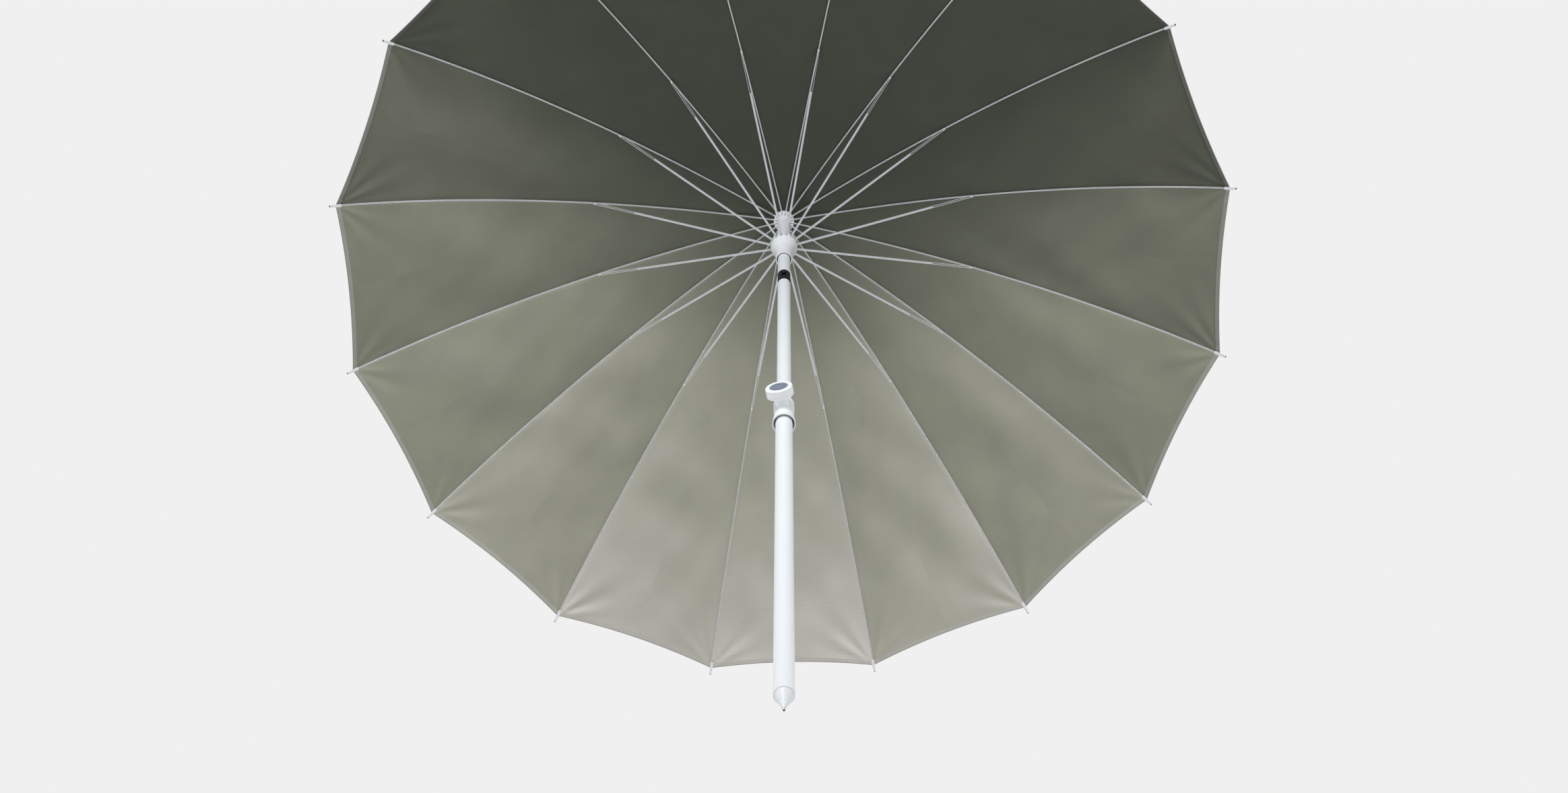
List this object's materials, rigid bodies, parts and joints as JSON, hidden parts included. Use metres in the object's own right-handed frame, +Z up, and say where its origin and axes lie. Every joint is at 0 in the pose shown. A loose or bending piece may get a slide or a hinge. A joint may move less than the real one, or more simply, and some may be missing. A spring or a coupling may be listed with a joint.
{
  "type": "parasol",
  "caption": "Garden parasol with bowed ribs, sliding runner, tilt joint, two-part telescoping pole with clamp knob and a ground spike.",
  "frame": {"origin": "the point of the ground spike, on the pole's axis", "axes": "+Z up the pole; the clamp knob points towards -Y and a little towards -X; the parasol tilts towards +Y"},
  "size_m": [1.963, 1.963, 2.2948],
  "materials": {
    "white_steel": "smooth powder coat",
    "white_plastic": "satin moulded",
    "black_plastic": "moulded",
    "grey_plastic": "textured",
    "plain_steel": "zinc plated",
    "canopy_cloth": "woven, coated inside"
  },
  "bodies": {
    "lower": {"spike_point": "plain_steel", "spike": "white_plastic", "lower_pole": "white_steel", "clamp_collar": "white_plastic", "clamp_nut": "plain_steel"},
    "shoe": {"clamp_shoe": "black_plastic"},
    "knob": {"clamp_knob": "white_plastic", "knob_disc": "grey_plastic", "clamp_stud": "plain_steel"},
    "middle": {"middle_pole": "white_steel", "guide_bush": "black_plastic", "tilt_fork": "black_plastic", "tilt_pin": "plain_steel"},
    "top": {"tilt_tongue": "black_plastic", "top_pole": "white_steel", "crown": "white_plastic", "crown_wire": "plain_steel", "finial": "white_plastic", "canopy": "canopy_cloth"},
    "button": {"tilt_button": "plain_steel"},
    "runner": {"runner_bell": "white_plastic", "runner_wire": "plain_steel", "runner_sleeve": "white_plastic"},
    "catch_f": {"catch_front": "white_plastic"},
    "catch_b": {"catch_back": "white_plastic"},
    "rib_01": {"rib_01": "white_steel"},
    "stretcher_01": {"stretcher_01": "white_steel"},
    "rib_02": {"rib_02": "white_steel"},
    "stretcher_02": {"stretcher_02": "white_steel"},
    "rib_03": {"rib_03": "white_steel"},
    "stretcher_03": {"stretcher_03": "white_steel"},
    "rib_04": {"rib_04": "white_steel"},
    "stretcher_04": {"stretcher_04": "white_steel"},
    "rib_05": {"rib_05": "white_steel"},
    "stretcher_05": {"stretcher_05": "white_steel"},
    "rib_06": {"rib_06": "white_steel"},
    "stretcher_06": {"stretcher_06": "white_steel"},
    "rib_07": {"rib_07": "white_steel"},
    "stretcher_07": {"stretcher_07": "white_steel"},
    "rib_08": {"rib_08": "white_steel"},
    "stretcher_08": {"stretcher_08": "white_steel"},
    "rib_09": {"rib_09": "white_steel"},
    "stretcher_09": {"stretcher_09": "white_steel"},
    "rib_10": {"rib_10": "white_steel"},
    "stretcher_10": {"stretcher_10": "white_steel"},
    "rib_11": {"rib_11": "white_steel"},
    "stretcher_11": {"stretcher_11": "white_steel"},
    "rib_12": {"rib_12": "white_steel"},
    "stretcher_12": {"stretcher_12": "white_steel"},
    "rib_13": {"rib_13": "white_steel"},
    "stretcher_13": {"stretcher_13": "white_steel"},
    "rib_14": {"rib_14": "white_steel"},
    "stretcher_14": {"stretcher_14": "white_steel"},
    "rib_15": {"rib_15": "white_steel"},
    "stretcher_15": {"stretcher_15": "white_steel"},
    "rib_16": {"rib_16": "white_steel"},
    "stretcher_16": {"stretcher_16": "white_steel"}
  },
  "joints": [
    {"name": "clamp_travel", "type": "slide", "parent": "lower", "child": "shoe", "axis": [-0.1736, -0.9848, 0], "range_m": [0, 0.0031]},
    {"name": "knob_turn", "type": "hinge", "parent": "shoe", "child": "knob", "pos_m": [0, 0, 1.087], "axis": [-0.1736, -0.9848, 0], "range_deg": [0, 720]},
    {"name": "pole_slide", "type": "slide", "parent": "lower", "child": "middle", "axis": [0, 0, 1], "range_m": [-0.4, 0.05]},
    {"name": "tilt", "type": "hinge", "parent": "middle", "child": "top", "pos_m": [0, 0, 1.831], "axis": [1, 0, 0], "range_deg": [-30, 0]},
    {"name": "button_press", "type": "slide", "parent": "top", "child": "button", "axis": [1, 0, 0], "range_m": [-0.003, 0], "stiffness_N_per_m": 600},
    {"name": "runner_slide", "type": "slide", "parent": "top", "child": "runner", "axis": [0, 0, -1], "range_m": [0, 0.662], "deforming": ["canopy"]},
    {"name": "catch_front_flex", "type": "hinge", "parent": "runner", "child": "catch_f", "pos_m": [0, -0.0148, 2.107], "axis": [1, 0, 0], "range_deg": [0, 4], "stiffness_Nm_per_rad": 2},
    {"name": "catch_back_flex", "type": "hinge", "parent": "runner", "child": "catch_b", "pos_m": [0, 0.0148, 2.107], "axis": [-1, 0, 0], "range_deg": [0, 4], "stiffness_Nm_per_rad": 2},
    {"name": "rib_hinge_01", "type": "hinge", "parent": "top", "child": "rib_01", "pos_m": [0.01962, 0.0039, 2.253], "axis": [-0.1951, 0.9808, 0], "range_deg": [0, 64.38]},
    {"name": "stretcher_hinge_01", "type": "hinge", "parent": "runner", "child": "stretcher_01", "pos_m": [0.02452, 0.00488, 2.061], "axis": [0.1951, -0.9808, 0], "range_deg": [0, 67.72]},
    {"name": "rib_hinge_02", "type": "hinge", "parent": "top", "child": "rib_02", "pos_m": [0.01663, 0.01111, 2.253], "axis": [-0.5556, 0.8315, 0], "range_deg": [0, 64.38]},
    {"name": "stretcher_hinge_02", "type": "hinge", "parent": "runner", "child": "stretcher_02", "pos_m": [0.02079, 0.01389, 2.061], "axis": [0.5556, -0.8315, 0], "range_deg": [0, 67.72]},
    {"name": "rib_hinge_03", "type": "hinge", "parent": "top", "child": "rib_03", "pos_m": [0.01111, 0.01663, 2.253], "axis": [-0.8315, 0.5556, 0], "range_deg": [0, 64.38]},
    {"name": "stretcher_hinge_03", "type": "hinge", "parent": "runner", "child": "stretcher_03", "pos_m": [0.01389, 0.02079, 2.061], "axis": [0.8315, -0.5556, 0], "range_deg": [0, 67.72]},
    {"name": "rib_hinge_04", "type": "hinge", "parent": "top", "child": "rib_04", "pos_m": [0.0039, 0.01962, 2.253], "axis": [-0.9808, 0.1951, 0], "range_deg": [0, 64.38]},
    {"name": "stretcher_hinge_04", "type": "hinge", "parent": "runner", "child": "stretcher_04", "pos_m": [0.00488, 0.02452, 2.061], "axis": [0.9808, -0.1951, 0], "range_deg": [0, 67.72]},
    {"name": "rib_hinge_05", "type": "hinge", "parent": "top", "child": "rib_05", "pos_m": [-0.0039, 0.01962, 2.253], "axis": [-0.9808, -0.1951, 0], "range_deg": [0, 64.38]},
    {"name": "stretcher_hinge_05", "type": "hinge", "parent": "runner", "child": "stretcher_05", "pos_m": [-0.00488, 0.02452, 2.061], "axis": [0.9808, 0.1951, 0], "range_deg": [0, 67.72]},
    {"name": "rib_hinge_06", "type": "hinge", "parent": "top", "child": "rib_06", "pos_m": [-0.01111, 0.01663, 2.253], "axis": [-0.8315, -0.5556, 0], "range_deg": [0, 64.38]},
    {"name": "stretcher_hinge_06", "type": "hinge", "parent": "runner", "child": "stretcher_06", "pos_m": [-0.01389, 0.02079, 2.061], "axis": [0.8315, 0.5556, 0], "range_deg": [0, 67.72]},
    {"name": "rib_hinge_07", "type": "hinge", "parent": "top", "child": "rib_07", "pos_m": [-0.01663, 0.01111, 2.253], "axis": [-0.5556, -0.8315, 0], "range_deg": [0, 64.38]},
    {"name": "stretcher_hinge_07", "type": "hinge", "parent": "runner", "child": "stretcher_07", "pos_m": [-0.02079, 0.01389, 2.061], "axis": [0.5556, 0.8315, 0], "range_deg": [0, 67.72]},
    {"name": "rib_hinge_08", "type": "hinge", "parent": "top", "child": "rib_08", "pos_m": [-0.01962, 0.0039, 2.253], "axis": [-0.1951, -0.9808, 0], "range_deg": [0, 64.38]},
    {"name": "stretcher_hinge_08", "type": "hinge", "parent": "runner", "child": "stretcher_08", "pos_m": [-0.02452, 0.00488, 2.061], "axis": [0.1951, 0.9808, 0], "range_deg": [0, 67.72]},
    {"name": "rib_hinge_09", "type": "hinge", "parent": "top", "child": "rib_09", "pos_m": [-0.01962, -0.0039, 2.253], "axis": [0.1951, -0.9808, 0], "range_deg": [0, 64.38]},
    {"name": "stretcher_hinge_09", "type": "hinge", "parent": "runner", "child": "stretcher_09", "pos_m": [-0.02452, -0.00488, 2.061], "axis": [-0.1951, 0.9808, 0], "range_deg": [0, 67.72]},
    {"name": "rib_hinge_10", "type": "hinge", "parent": "top", "child": "rib_10", "pos_m": [-0.01663, -0.01111, 2.253], "axis": [0.5556, -0.8315, 0], "range_deg": [0, 64.38]},
    {"name": "stretcher_hinge_10", "type": "hinge", "parent": "runner", "child": "stretcher_10", "pos_m": [-0.02079, -0.01389, 2.061], "axis": [-0.5556, 0.8315, 0], "range_deg": [0, 67.72]},
    {"name": "rib_hinge_11", "type": "hinge", "parent": "top", "child": "rib_11", "pos_m": [-0.01111, -0.01663, 2.253], "axis": [0.8315, -0.5556, 0], "range_deg": [0, 64.38]},
    {"name": "stretcher_hinge_11", "type": "hinge", "parent": "runner", "child": "stretcher_11", "pos_m": [-0.01389, -0.02079, 2.061], "axis": [-0.8315, 0.5556, 0], "range_deg": [0, 67.72]},
    {"name": "rib_hinge_12", "type": "hinge", "parent": "top", "child": "rib_12", "pos_m": [-0.0039, -0.01962, 2.253], "axis": [0.9808, -0.1951, 0], "range_deg": [0, 64.38]},
    {"name": "stretcher_hinge_12", "type": "hinge", "parent": "runner", "child": "stretcher_12", "pos_m": [-0.00488, -0.02452, 2.061], "axis": [-0.9808, 0.1951, 0], "range_deg": [0, 67.72]},
    {"name": "rib_hinge_13", "type": "hinge", "parent": "top", "child": "rib_13", "pos_m": [0.0039, -0.01962, 2.253], "axis": [0.9808, 0.1951, 0], "range_deg": [0, 64.38]},
    {"name": "stretcher_hinge_13", "type": "hinge", "parent": "runner", "child": "stretcher_13", "pos_m": [0.00488, -0.02452, 2.061], "axis": [-0.9808, -0.1951, 0], "range_deg": [0, 67.72]},
    {"name": "rib_hinge_14", "type": "hinge", "parent": "top", "child": "rib_14", "pos_m": [0.01111, -0.01663, 2.253], "axis": [0.8315, 0.5556, 0], "range_deg": [0, 64.38]},
    {"name": "stretcher_hinge_14", "type": "hinge", "parent": "runner", "child": "stretcher_14", "pos_m": [0.01389, -0.02079, 2.061], "axis": [-0.8315, -0.5556, 0], "range_deg": [0, 67.72]},
    {"name": "rib_hinge_15", "type": "hinge", "parent": "top", "child": "rib_15", "pos_m": [0.01663, -0.01111, 2.253], "axis": [0.5556, 0.8315, 0], "range_deg": [0, 64.38]},
    {"name": "stretcher_hinge_15", "type": "hinge", "parent": "runner", "child": "stretcher_15", "pos_m": [0.02079, -0.01389, 2.061], "axis": [-0.5556, -0.8315, 0], "range_deg": [0, 67.72]},
    {"name": "rib_hinge_16", "type": "hinge", "parent": "top", "child": "rib_16", "pos_m": [0.01962, -0.0039, 2.253], "axis": [0.1951, 0.9808, 0], "range_deg": [0, 64.38]},
    {"name": "stretcher_hinge_16", "type": "hinge", "parent": "runner", "child": "stretcher_16", "pos_m": [0.02452, -0.00488, 2.061], "axis": [-0.1951, -0.9808, 0], "range_deg": [0, 67.72]}
  ],
  "couplings": [
    {"joint": "clamp_travel", "follows": "knob_turn", "m_per_rad": 0.00023873},
    {"joint": "rib_hinge_01", "follows": "runner_slide", "rad_per_m": 1.6967},
    {"joint": "stretcher_hinge_01", "follows": "runner_slide", "rad_per_m": 1.785},
    {"joint": "rib_hinge_02", "follows": "runner_slide", "rad_per_m": 1.6967},
    {"joint": "stretcher_hinge_02", "follows": "runner_slide", "rad_per_m": 1.785},
    {"joint": "rib_hinge_03", "follows": "runner_slide", "rad_per_m": 1.6967},
    {"joint": "stretcher_hinge_03", "follows": "runner_slide", "rad_per_m": 1.785},
    {"joint": "rib_hinge_04", "follows": "runner_slide", "rad_per_m": 1.6967},
    {"joint": "stretcher_hinge_04", "follows": "runner_slide", "rad_per_m": 1.785},
    {"joint": "rib_hinge_05", "follows": "runner_slide", "rad_per_m": 1.6967},
    {"joint": "stretcher_hinge_05", "follows": "runner_slide", "rad_per_m": 1.785},
    {"joint": "rib_hinge_06", "follows": "runner_slide", "rad_per_m": 1.6967},
    {"joint": "stretcher_hinge_06", "follows": "runner_slide", "rad_per_m": 1.785},
    {"joint": "rib_hinge_07", "follows": "runner_slide", "rad_per_m": 1.6967},
    {"joint": "stretcher_hinge_07", "follows": "runner_slide", "rad_per_m": 1.785},
    {"joint": "rib_hinge_08", "follows": "runner_slide", "rad_per_m": 1.6967},
    {"joint": "stretcher_hinge_08", "follows": "runner_slide", "rad_per_m": 1.785},
    {"joint": "rib_hinge_09", "follows": "runner_slide", "rad_per_m": 1.6967},
    {"joint": "stretcher_hinge_09", "follows": "runner_slide", "rad_per_m": 1.785},
    {"joint": "rib_hinge_10", "follows": "runner_slide", "rad_per_m": 1.6967},
    {"joint": "stretcher_hinge_10", "follows": "runner_slide", "rad_per_m": 1.785},
    {"joint": "rib_hinge_11", "follows": "runner_slide", "rad_per_m": 1.6967},
    {"joint": "stretcher_hinge_11", "follows": "runner_slide", "rad_per_m": 1.785},
    {"joint": "rib_hinge_12", "follows": "runner_slide", "rad_per_m": 1.6967},
    {"joint": "stretcher_hinge_12", "follows": "runner_slide", "rad_per_m": 1.785},
    {"joint": "rib_hinge_13", "follows": "runner_slide", "rad_per_m": 1.6967},
    {"joint": "stretcher_hinge_13", "follows": "runner_slide", "rad_per_m": 1.785},
    {"joint": "rib_hinge_14", "follows": "runner_slide", "rad_per_m": 1.6967},
    {"joint": "stretcher_hinge_14", "follows": "runner_slide", "rad_per_m": 1.785},
    {"joint": "rib_hinge_15", "follows": "runner_slide", "rad_per_m": 1.6967},
    {"joint": "stretcher_hinge_15", "follows": "runner_slide", "rad_per_m": 1.785},
    {"joint": "rib_hinge_16", "follows": "runner_slide", "rad_per_m": 1.6967},
    {"joint": "stretcher_hinge_16", "follows": "runner_slide", "rad_per_m": 1.785}
  ]
}
